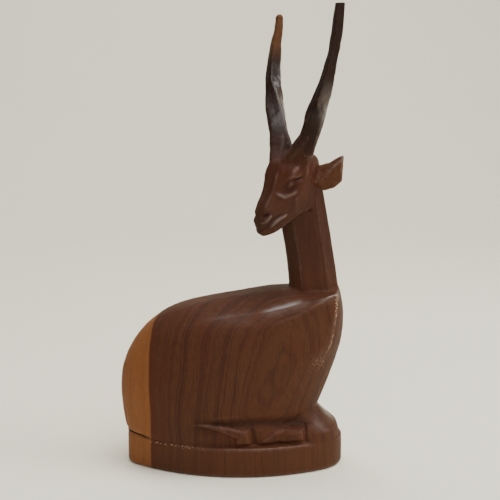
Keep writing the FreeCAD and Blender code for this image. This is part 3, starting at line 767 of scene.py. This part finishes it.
def horn_piece(name, side, tip_round):
    """One horn, from inside its socket to its flat or rounded tip, with the unevenness of knife cuts."""
    share = np.concatenate((np.linspace(-0.04, 0.95, 150), 1.0 - 0.05 * np.linspace(0.97, 0, 22) ** 2))
    rows, line = horn_rows(side, share, tip_round)
    points, quads, fans = tube(rows)
    centre = np.vstack((np.repeat(line, RING, axis=0), line[:1], line[-1:]))
    bump = 0.14 * ripple(points, 8.0, 5 + side) + 0.05 * ripple(points, 2.8, 9 + side)
    made = skin(name, ((points + in_plan(points - centre) * bump[:, None], quads, fans),))
    mesh = with_modifier(made, "SUBSURF", levels=1, render_levels=1)
    points, normals = read_points(mesh), read_normals(mesh)
    # Gloss on the faces turned to the front right, about halfway up each horn; past 1 the finish also paints them
    # paler there, a painted highlight on the lit side.
    facing = rise(0.1, 0.7, normals @ np.array((0.64, -0.77, 0.0)))
    patch = bell(points[:, 2], 201.0, 9.0 if side > 0 else 16.0)
    keep_values(mesh, worn=edge_wear(points, normals, read_edges(mesh), 30, 0.12), dark=0.0, chips=0.0,
                rubbed=1.3 * facing * patch)
    round_off(mesh)
    return made


def ear_piece(name, side):
    """One ear: a leaf carried out from the head in sections of nine corners. A ridge runs across its front from the
    heel to the tip; above it the leaf is hollowed, and below it the outside turns under. Its end is cut flat."""
    out = np.linspace(-2.0, 13.2, 40)
    low = np.interp(out, (-2.0, 3.6, 9.2, 13.2), (-6.6, -9.6, -8.0, -4.4))
    high = np.interp(out, (-2.0, 5.6, 12.4, 13.2), (3.6, 5.6, 9.8, 9.9))
    ridge = np.interp(out, (-2.0, 2.0, 13.2), (-5.4, -4.6, 6.4))
    deep = np.interp(out, (-2.0, 3.0, 10.0, 13.2), (0.9, 0.1, 0.0, 0.2))
    lift = np.stack((high - 0.3, low * 0.45 + high * 0.55, low + 0.7, low, low * 0.45 + ridge * 0.55, ridge,
                     ridge * 0.72 + high * 0.28, (ridge + high) / 2, high), axis=1)
    push = np.tile((-2.3, -2.5, -2.1, -0.9, 1.3, 2.4, 0.7, 0.0, -0.7), (len(out), 1))
    push[:, 6:8] += deep[:, None]
    yaw = math.radians(32.0 if side > 0 else 148.0)
    roll = math.radians(90.0 - side * 14.0)
    leaf = math.cos(yaw) * LEFTWARD + math.sin(yaw) * BACKWARD
    flat = -math.sin(yaw) * LEFTWARD + math.cos(yaw) * BACKWARD
    up = math.cos(roll) * flat + math.sin(roll) * VERTICAL
    front = (-math.sin(roll) * flat + math.cos(roll) * VERTICAL) * side
    root = POLL + side * 9.6 * LEFTWARD + 0.5 * BACKWARD - 2.6 * VERTICAL
    corners = root + out[:, None, None] * leaf + lift[..., None] * up + push[..., None] * front
    rows = corner_rows(corners, 6)
    made = skin(name, (tube(rows[:, ::-1] if side > 0 else rows),))
    mesh, points, edges = regrown(made, 0.28 * MM)
    write_points(mesh, points)
    normals = read_normals(mesh)
    points = points + normals * (0.10 * ripple(points, 4.0, 21) + 0.05 * ripple(points, 1.8, 22))[:, None]
    write_points(mesh, points)
    keep_values(mesh, worn=edge_wear(points, read_normals(mesh), edges, 12, 0.1), dark=0.0, chips=0.0,
                rubbed=0.8 * rise(0.1, 0.5, normals[:, 2]))
    round_off(mesh)
    return made


# ---- finishes
def tint(red, green, blue):
    """A screen colour, 0 to 255, as the linear colour that a finish takes."""
    shares = [c / 255 for c in (red, green, blue)]
    return tuple(c / 12.92 if c <= 0.04045 else ((c + 0.055) / 1.055) ** 2.4 for c in shares) + (1.0,)


class Term:
    """A number or a colour at one socket of a finish. Arithmetic on numbers adds their Math nodes."""

    def __init__(self, finish, socket):
        self.finish = finish
        self.socket = socket

    def sum_of(self, operation, *terms):
        return self.finish.add("ShaderNodeMath", {"operation": operation}, dict(enumerate(terms)))

    def __add__(self, other):
        return self.sum_of("ADD", self, other)

    def __sub__(self, other):
        return self.sum_of("SUBTRACT", self, other)

    def __rsub__(self, other):
        return self.sum_of("SUBTRACT", other, self)

    def __mul__(self, other):
        return self.sum_of("MULTIPLY", self, other)

    __radd__ = __add__
    __rmul__ = __mul__

    def between(self, low, high):
        """0 below low, 1 above high, smooth between."""
        return self.finish.add("ShaderNodeMapRange", {"interpolation_type": "SMOOTHSTEP"},
                               {0: self, 1: low, 2: high, 3: 0.0, 4: 1.0})


class Finish:
    """One material, built node by node."""

    def __init__(self, name):
        self.material = bpy.data.materials.new(name)
        self.material.use_nodes = True
        self.tree = self.material.node_tree
        self.tree.nodes.clear()

    def add(self, kind, settings=None, inputs=None, output=0):
        """Adds a node of a kind, sets it up, then fills or links its sockets, and gives one of its outputs."""
        node = self.tree.nodes.new(kind)
        for name, value in (settings or {}).items():
            if name == "stops":
                ramp = node.color_ramp
                while len(ramp.elements) > 1:
                    ramp.elements.remove(ramp.elements[-1])
                ramp.elements[0].position, ramp.elements[0].color = value[0]
                for place, colour in value[1:]:
                    ramp.elements.new(place).color = colour
            else:
                setattr(node, name, value)
        for key, value in (inputs or {}).items():
            if isinstance(value, Term):
                self.tree.links.new(value.socket, node.inputs[key])
            else:
                node.inputs[key].default_value = value
        return Term(self, node.outputs[output])

    def blend(self, share, first, second):
        """A colour between first and second, by share."""
        return self.add("ShaderNodeMix", {"data_type": "RGBA"}, {0: share, 6: first, 7: second}, 2)

    def noise(self, place, scale, detail=2.0, rough=0.5):
        """Cloudy noise over a place, about 0.5 at its middle."""
        return self.add("ShaderNodeTexNoise", {}, {"Vector": place, "Scale": scale, "Detail": detail,
                                                   "Roughness": rough})

    def line_noise(self, at, scale, detail=2.0):
        """Noise along one number."""
        return self.add("ShaderNodeTexNoise", {"noise_dimensions": "1D"}, {"W": at, "Scale": scale,
                                                                          "Detail": detail})

    def stretched(self, place, across, along, shift=0.0):
        """The place with X and Y scaled by across and Z by along, for grain that runs up the block."""
        return self.add("ShaderNodeMapping", {}, {"Vector": place, "Scale": (across, across, along),
                                                  "Location": (shift, shift * 0.7, shift * 0.3)})

    def stored(self, name):
        """A number stored on the piece."""
        return self.add("ShaderNodeAttribute", {"attribute_type": "GEOMETRY", "attribute_name": name}, {}, 2)

    def distance(self, x, y):
        """How far a place is that lies x along and y across: the root of the sum of their squares."""
        return self.add("ShaderNodeMath", {"operation": "SQRT"}, {0: x * x + y * y})

    def bump(self, strength, distance, height, **under):
        """The tilt that a height gives the surface, on top of another tilt where there is one."""
        return self.add("ShaderNodeBump", {}, {"Strength": strength, "Distance": distance, "Height": height, **under})

    def surface(self, shader):
        """Makes the shader the finish's surface."""
        output = self.tree.nodes.new("ShaderNodeOutputMaterial")
        self.tree.links.new(shader.socket, output.inputs["Surface"])
        return self.material


def wood_finish(name, look, ruddy, deep=0.0, light=0.0, pale_above=None):
    """Oiled hardwood: growth rings about an upright pith line beside the block, pale sapwood outside a wider ring,
    fine grain and pores that run upright, edges that handling has rubbed and polished, chips, painted shade in the
    cuts and hollows, and a pale painted highlight on the face's sharper ridges and the horns' front-right faces.
    ruddy is how red it is, deep how dark, light how pale, and pale_above a level over which it wears to orange."""
    f = Finish(name)
    place = f.add("ShaderNodeTexCoord", {}, {}, 3)
    mm = f.add("ShaderNodeVectorMath", {"operation": "SCALE"}, {0: place, "Scale": 1 / MM})
    sway = f.noise(f.stretched(mm, 0.022, 0.012), 1.0, 2.0)
    x, y, z = (f.add("ShaderNodeSeparateXYZ", {}, {0: mm}, n) for n in range(3))
    ring_x = x - look.pith_along / MM + (sway - 0.5) * 16.0
    ring_y = y + look.pith_near / MM - (1 - z.between(8.0, 62.0)) * 2.6
    jitter = f.noise(f.stretched(mm, 0.15, 0.01, 5.0), 1.0, 2.0)
    radius = f.distance(ring_x, ring_y) + (jitter - 0.5) * 2.4

    bands = f.line_noise(radius, 0.22, 3.0)
    lines = f.line_noise(radius, 0.95, 2.0)
    fibre = f.noise(f.stretched(mm, 1.5, 0.035), 1.0, 3.0, 0.6)
    pores = f.noise(f.stretched(mm, 3.2, 0.16, 3.0), 1.0, 2.0, 0.6)
    cloud = f.noise(f.stretched(mm, 0.05, 0.03, 9.0), 1.0, 3.0)
    speck = f.noise(mm, 1.35, 3.0, 0.7)
    dust = f.noise(mm, 0.5, 2.0, 0.6)

    grain = bands * 0.45 + lines * 0.3 + fibre * 0.35
    heart = f.add("ShaderNodeValToRGB", {"stops": (
        (0.36, look.heart_dark), (0.50, look.heart), (0.61, look.heart_light),
        (0.66, look.heart))}, {0: grain})
    thread = 1 - (lines - 0.60) * (lines - 0.60) * 900.0
    for share, colour in (
            (cloud.between(0.40, 0.66) * (0.26 + ruddy), look.heart_red),
            ((1 - z.between(14.5, 17.0)) * 0.4, look.heart_light),
            (z.between(96.0, 122.0) * 0.5, look.neck),
            (z.between(136.0, 165.0) * 0.4 + ruddy * 0.6, look.heart_red),
            (z.between(164.0, 180.0) * 0.75, look.horn),
            ((1 - fibre.between(0.30, 0.46)) * 0.22, look.heart_dark),
            (thread.between(0.0, 1.0) * 0.22, look.heart_light)):
        heart = f.blend(share, heart, colour)
    if deep:
        heart = f.blend(deep, heart, look.horn)
    if light:
        heart = f.blend(light, heart, look.heart_light)
    sap = f.blend(fibre * 0.6, look.sap, look.sap_dark)
    sap = f.blend(bands.between(0.45, 0.7) * 0.5, sap, look.sap_dark)
    edge = look.sap_radius / MM
    sap_at = f.distance(x - look.sap_along / MM + (sway - 0.5) * 7.0, y + look.sap_near / MM) + (jitter - 0.5) * 1.4
    outer = sap_at.between(edge - 0.5, edge + 0.7)
    shore = sap_at.between(edge - 5.0, edge) * (1 - outer)
    heart = f.blend(shore * 0.45, heart, look.heart_red)
    wood = f.blend(outer, heart, sap)
    wood = f.blend((1 - pores.between(0.30, 0.40)) * 0.55, wood, look.pore)
    if pale_above is not None:
        bare = z.between(pale_above - 8.0, pale_above + 6.0) * (0.55 + 0.45 * cloud)
        wood = f.blend(bare, wood, look.horn_tip)
    worn, rubbed = f.stored("worn"), f.stored("rubbed")
    wood = f.blend(worn * dust.between(0.38, 0.62) * 0.4, wood, look.worn)
    # Pale painted highlight, partly rubbed wear: where the rubbed mark passes 1, on the face's sharper ridges and the
    # horns' front-right faces, flecks of the worn-edge colour stand in for their highlight.
    wood = f.blend(rubbed.between(1.0, 2.0) * speck.between(0.40, 0.55) * 0.6, wood, look.worn)
    chips = f.stored("chips")
    flake = (speck + chips * 0.21).between(0.70, 0.74) * chips.between(0.05, 0.4)
    wood = f.blend(flake * 0.85, wood, look.chip)
    wood = f.blend(speck.between(0.725, 0.745) * 0.5, wood, look.chip)
    dark = f.stored("dark")
    # Painted shade: the dark mark darkens the cuts, the eye socket, the drying split, the scored line, the trough
    # over the legs and the back's top strip towards the shade colour.
    wood = f.blend(dark.between(0.05, 0.9) * 0.8, wood, look.painted_shade)

    height = fibre * 0.35 + pores * 0.4 + lines * 0.12 + dust * 0.25 - flake * 0.8
    knife = f.noise(f.stretched(mm, 0.28, 0.16, 2.0), 1.0, 1.0)
    bump = f.bump(0.5, 0.0006, knife, Normal=f.bump(0.5, 0.00022, height))
    gloss = worn * 0.6 + rubbed.between(0.0, 1.0) * (cloud.between(0.30, 0.50) * 0.8 + 0.2)
    rough = 0.56 + fibre * 0.10 + dust * 0.12 + flake * 0.2 + dark * 0.15 - gloss * 0.16
    polish = 0.03 + gloss * (1 - flake) * 0.9
    shader = f.add("ShaderNodeBsdfPrincipled", {}, {
        "Base Color": wood, "Roughness": rough, "Normal": bump, "IOR": 1.48, "Specular IOR Level": 0.16,
        "Coat Weight": polish, "Coat Roughness": 0.3})
    return f.surface(shader)


def stage_finish(look):
    """Matt cream paper with the faintest mottling."""
    f = Finish("cream_paper")
    place = f.add("ShaderNodeTexCoord", {}, {}, 3)
    fleck = f.noise(place, 9.0, 3.0)
    colour = f.blend(fleck, look.paper, tuple(c * 0.96 for c in look.paper[:3]) + (1.0,))
    bump = f.bump(0.1, 0.0002, f.noise(place, 900.0, 2.0))
    shader = f.add("ShaderNodeBsdfPrincipled", {}, {"Base Color": colour, "Roughness": 0.9, "Normal": bump})
    return f.surface(shader)


# ---- settings
def colour_setting(label, note, value):
    """A colour that a user may change."""
    return bpy.props.FloatVectorProperty(name=label, description=note, default=value, size=4, subtype="COLOR",
                                         min=0.0, max=1.0)


def length_setting(label, note, value, **limits):
    """A length that a user may change."""
    return bpy.props.FloatProperty(name=label, description=note, default=value, unit="LENGTH", **limits)


class CarvingLook(bpy.types.PropertyGroup):
    """Sizes and colours of the carving."""

    detail: length_setting("Detail", "Size of the smallest step in the block's skin", 0.00052,
                           min=0.0003, max=0.002, precision=5)
    pith_along: length_setting("Pith along", "Where the rings' middle stands along the block", 0.032)
    pith_near: length_setting("Pith beside", "How far the rings' middle stands out to the near side", 0.068)
    sap_along: length_setting("Sapwood along", "Where the sapwood ring's middle stands along the block", 0.060)
    sap_near: length_setting("Sapwood beside", "How far that middle stands out to the near side", 0.040)
    sap_radius: length_setting("Sapwood ring", "Radius of the ring where the pale sapwood starts", 0.1085)
    heart: colour_setting("Heartwood", "Main colour of the wood", tint(67, 37, 22))
    heart_dark: colour_setting("Dark rings", "Colour of the dark rings", tint(53, 27, 16))
    heart_light: colour_setting("Light rings", "Colour of the light rings", tint(78, 46, 27))
    heart_red: colour_setting("Red wood", "Colour of the redder wood", tint(76, 31, 16))
    sap: colour_setting("Sapwood", "Colour of the pale outer wood", tint(130, 81, 45))
    sap_dark: colour_setting("Sapwood grain", "Colour of the grain in the pale wood", tint(112, 67, 35))
    pore: colour_setting("Pores", "Colour of the pores", tint(40, 22, 16))
    # The worn-edge colour also paints the pale highlight on the face's sharper ridges and the horns' front-right
    # faces.
    worn: colour_setting("Worn edges", "Colour of the rubbed edges", tint(112, 76, 58))
    chip: colour_setting("Chips", "Colour of the chipped spots", tint(196, 162, 128))
    # Painted shade: the dark colour laid into the cuts, the eye socket, the drying split, the scored line, the trough
    # over the legs and the back's top strip in place of their shade.
    painted_shade: colour_setting("Shade", "Colour of the dirt in the cuts", tint(34, 20, 15))
    neck: colour_setting("Neck wood", "Colour that the neck and the head lean to", tint(43, 23, 14))
    horn: colour_setting("Horn wood", "Colour that the horns' dark wood leans to", tint(28, 17, 11))
    horn_tip: colour_setting("Horn tip", "Colour of the far horn's rubbed tip", tint(92, 57, 31))
    paper: colour_setting("Floor", "Colour of the floor", tint(245, 240, 221))


class CARVING_OT_block(bpy.types.Operator):
    """Make the block: plinth, folded legs, trunk, neck and head in one piece"""

    bl_idname = "carving.block"
    bl_label = "Body"

    def execute(self, context):
        look = context.scene.carving_look
        made = carved_block(look.detail)
        made.data.materials.append(wood_finish("body_wood", look, 0.0))
        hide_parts("carved_body")
        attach(made, "root")
        return {"FINISHED"}


class CARVING_OT_horns(bpy.types.Operator):
    """Make the two let-in horns"""

    bl_idname = "carving.horns"
    bl_label = "Horns"

    def execute(self, context):
        look = context.scene.carving_look
        rows = (("left_horn_carving", "left_horn", 1, 0.35, 0.4, None),
                ("right_horn_carving", "right_horn", -1, 2.2, 0.4, 226.0))
        for name, node, side, tip, deep, pale in rows:
            made = horn_piece(name, side, tip)
            made.data.materials.append(wood_finish(f"{node}_wood", look, 0.0, deep=deep, pale_above=pale))
            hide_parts(node)
            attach(made, "root")
        return {"FINISHED"}


class CARVING_OT_ears(bpy.types.Operator):
    """Make the two let-in ears"""

    bl_idname = "carving.ears"
    bl_label = "Ears"

    def execute(self, context):
        look = context.scene.carving_look
        finish = wood_finish("ear_wood", look, 0.2, light=0.95)
        for name, node, side in (("left_ear_carving", "left_ear", 1), ("right_ear_carving", "right_ear", -1)):
            made = ear_piece(name, side)
            made.data.materials.append(finish)
            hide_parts(node)
            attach(made, "root")
        return {"FINISHED"}


def area_light(name, spot, aim, size, power, colour):
    """A soft light with four sides at spot that faces aim."""
    lamp = bpy.data.lights.new(name, "AREA")
    lamp.shape = "RECTANGLE"
    lamp.size, lamp.size_y = size
    lamp.energy = power
    lamp.color = colour
    made = add_object(name, lamp)
    made.location = spot
    away = np.array(spot) - np.array(aim)
    flat = math.hypot(away[0], away[1])
    made.rotation_euler = (math.atan2(flat, away[2]), 0.0, math.atan2(away[0], -away[1]))


def sweep(name):
    """A paper sweep: level from the front, then a quarter circle up into an upright back."""
    wide = 33
    floor_y = np.linspace(-2.4, 0.7, 24)
    bend = np.linspace(0, math.pi / 2, 25)[1:]
    y = np.concatenate((floor_y, 0.7 + 0.5 * np.sin(bend), np.full(8, 1.2)))
    z = np.concatenate((np.zeros_like(floor_y), 0.5 * (1 - np.cos(bend)), 0.5 + np.linspace(0.15, 1.6, 8)))
    grid = np.empty((len(y), wide, 3))
    grid[..., 0] = np.linspace(-2.4, 2.4, wide)
    grid[..., 1] = y[:, None]
    grid[..., 2] = z[:, None]
    row, column = np.meshgrid(np.arange(len(y) - 1), np.arange(wide - 1), indexing="ij")
    first = row * wide + column
    faces = np.stack((first, first + 1, first + wide + 1, first + wide), axis=-1).reshape(-1, 4)
    mesh = bpy.data.meshes.new(name)
    mesh.from_pydata(grid.reshape(-1, 3).tolist(), [], faces.tolist())
    round_off(mesh)
    return add_object(name, mesh)


class CARVING_OT_stage(bpy.types.Operator):
    """Make the floor, the lights and the camera"""

    bl_idname = "carving.stage"
    bl_label = "Stage"

    def execute(self, context):
        look = context.scene.carving_look
        scene = context.scene
        floor = sweep("floor_sweep")
        floor.data.materials.append(stage_finish(look))
        area_light("sky_light", (0.30, -0.10, 1.15), (0.02, 0.0, 0.10), (0.8, 0.8), 13.0, (1.0, 0.985, 0.96))
        area_light("window_light", (0.85, -0.15, 0.60), (0.0, 0.0, 0.09), (0.5, 0.5), 5.0, (1.0, 0.98, 0.95))
        area_light("room_light", (0.25, -1.20, 0.80), (0.0, 0.1, 0.09), (0.9, 0.7), 6.5, (1.0, 0.98, 0.95))
        area_light("paper_light", (-0.35, 0.55, 1.35), (0.0, 0.75, 0.25), (1.0, 0.5), 9.0, (1.0, 0.99, 0.96))
        world = scene.world or bpy.data.worlds.new("room")
        scene.world = world
        world.use_nodes = True
        ground = world.node_tree.nodes["Background"]
        ground.inputs["Color"].default_value = (0.9, 0.92, 0.95, 1.0)
        ground.inputs["Strength"].default_value = 0.24
        lens = bpy.data.cameras.new("studio_camera")
        lens.lens = 83.7
        lens.sensor_width = 36.0
        scene.camera = add_object("studio_camera", lens)
        scene.camera.location = (0.0085, -0.620, 0.235)
        scene.camera.rotation_euler = (math.radians(79.4), 0.0, 0.0)
        return {"FINISHED"}


class CARVING_PT_panel(bpy.types.Panel):
    """Buttons for the carving's pieces, and its settings"""

    bl_label = "Couchant Antelope"
    bl_idname = "CARVING_PT_panel"
    bl_space_type = "VIEW_3D"
    bl_region_type = "UI"
    bl_category = "Carving"

    def draw(self, context):
        column = self.layout.column(align=True)
        for piece in OPERATORS:
            column.operator(piece.bl_idname)
        look = context.scene.carving_look
        for name in CarvingLook.__annotations__:
            self.layout.prop(look, name)


OPERATORS = (CARVING_OT_block, CARVING_OT_horns, CARVING_OT_ears, CARVING_OT_stage)
CLASSES = (CarvingLook,) + OPERATORS + (CARVING_PT_panel,)


def register():
    """Adds the classes and the settings."""
    for made in CLASSES:
        bpy.utils.register_class(made)
    bpy.types.Scene.carving_look = bpy.props.PointerProperty(type=CarvingLook)


def unregister():
    """Takes the classes and the settings away."""
    del bpy.types.Scene.carving_look
    for made in reversed(CLASSES):
        bpy.utils.unregister_class(made)


def main():
    """Makes every piece and the stage."""
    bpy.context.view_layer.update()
    register()
    bpy.ops.carving.block()
    bpy.ops.carving.horns()
    bpy.ops.carving.ears()
    bpy.ops.carving.stage()


if __name__ == "__main__":
    main()
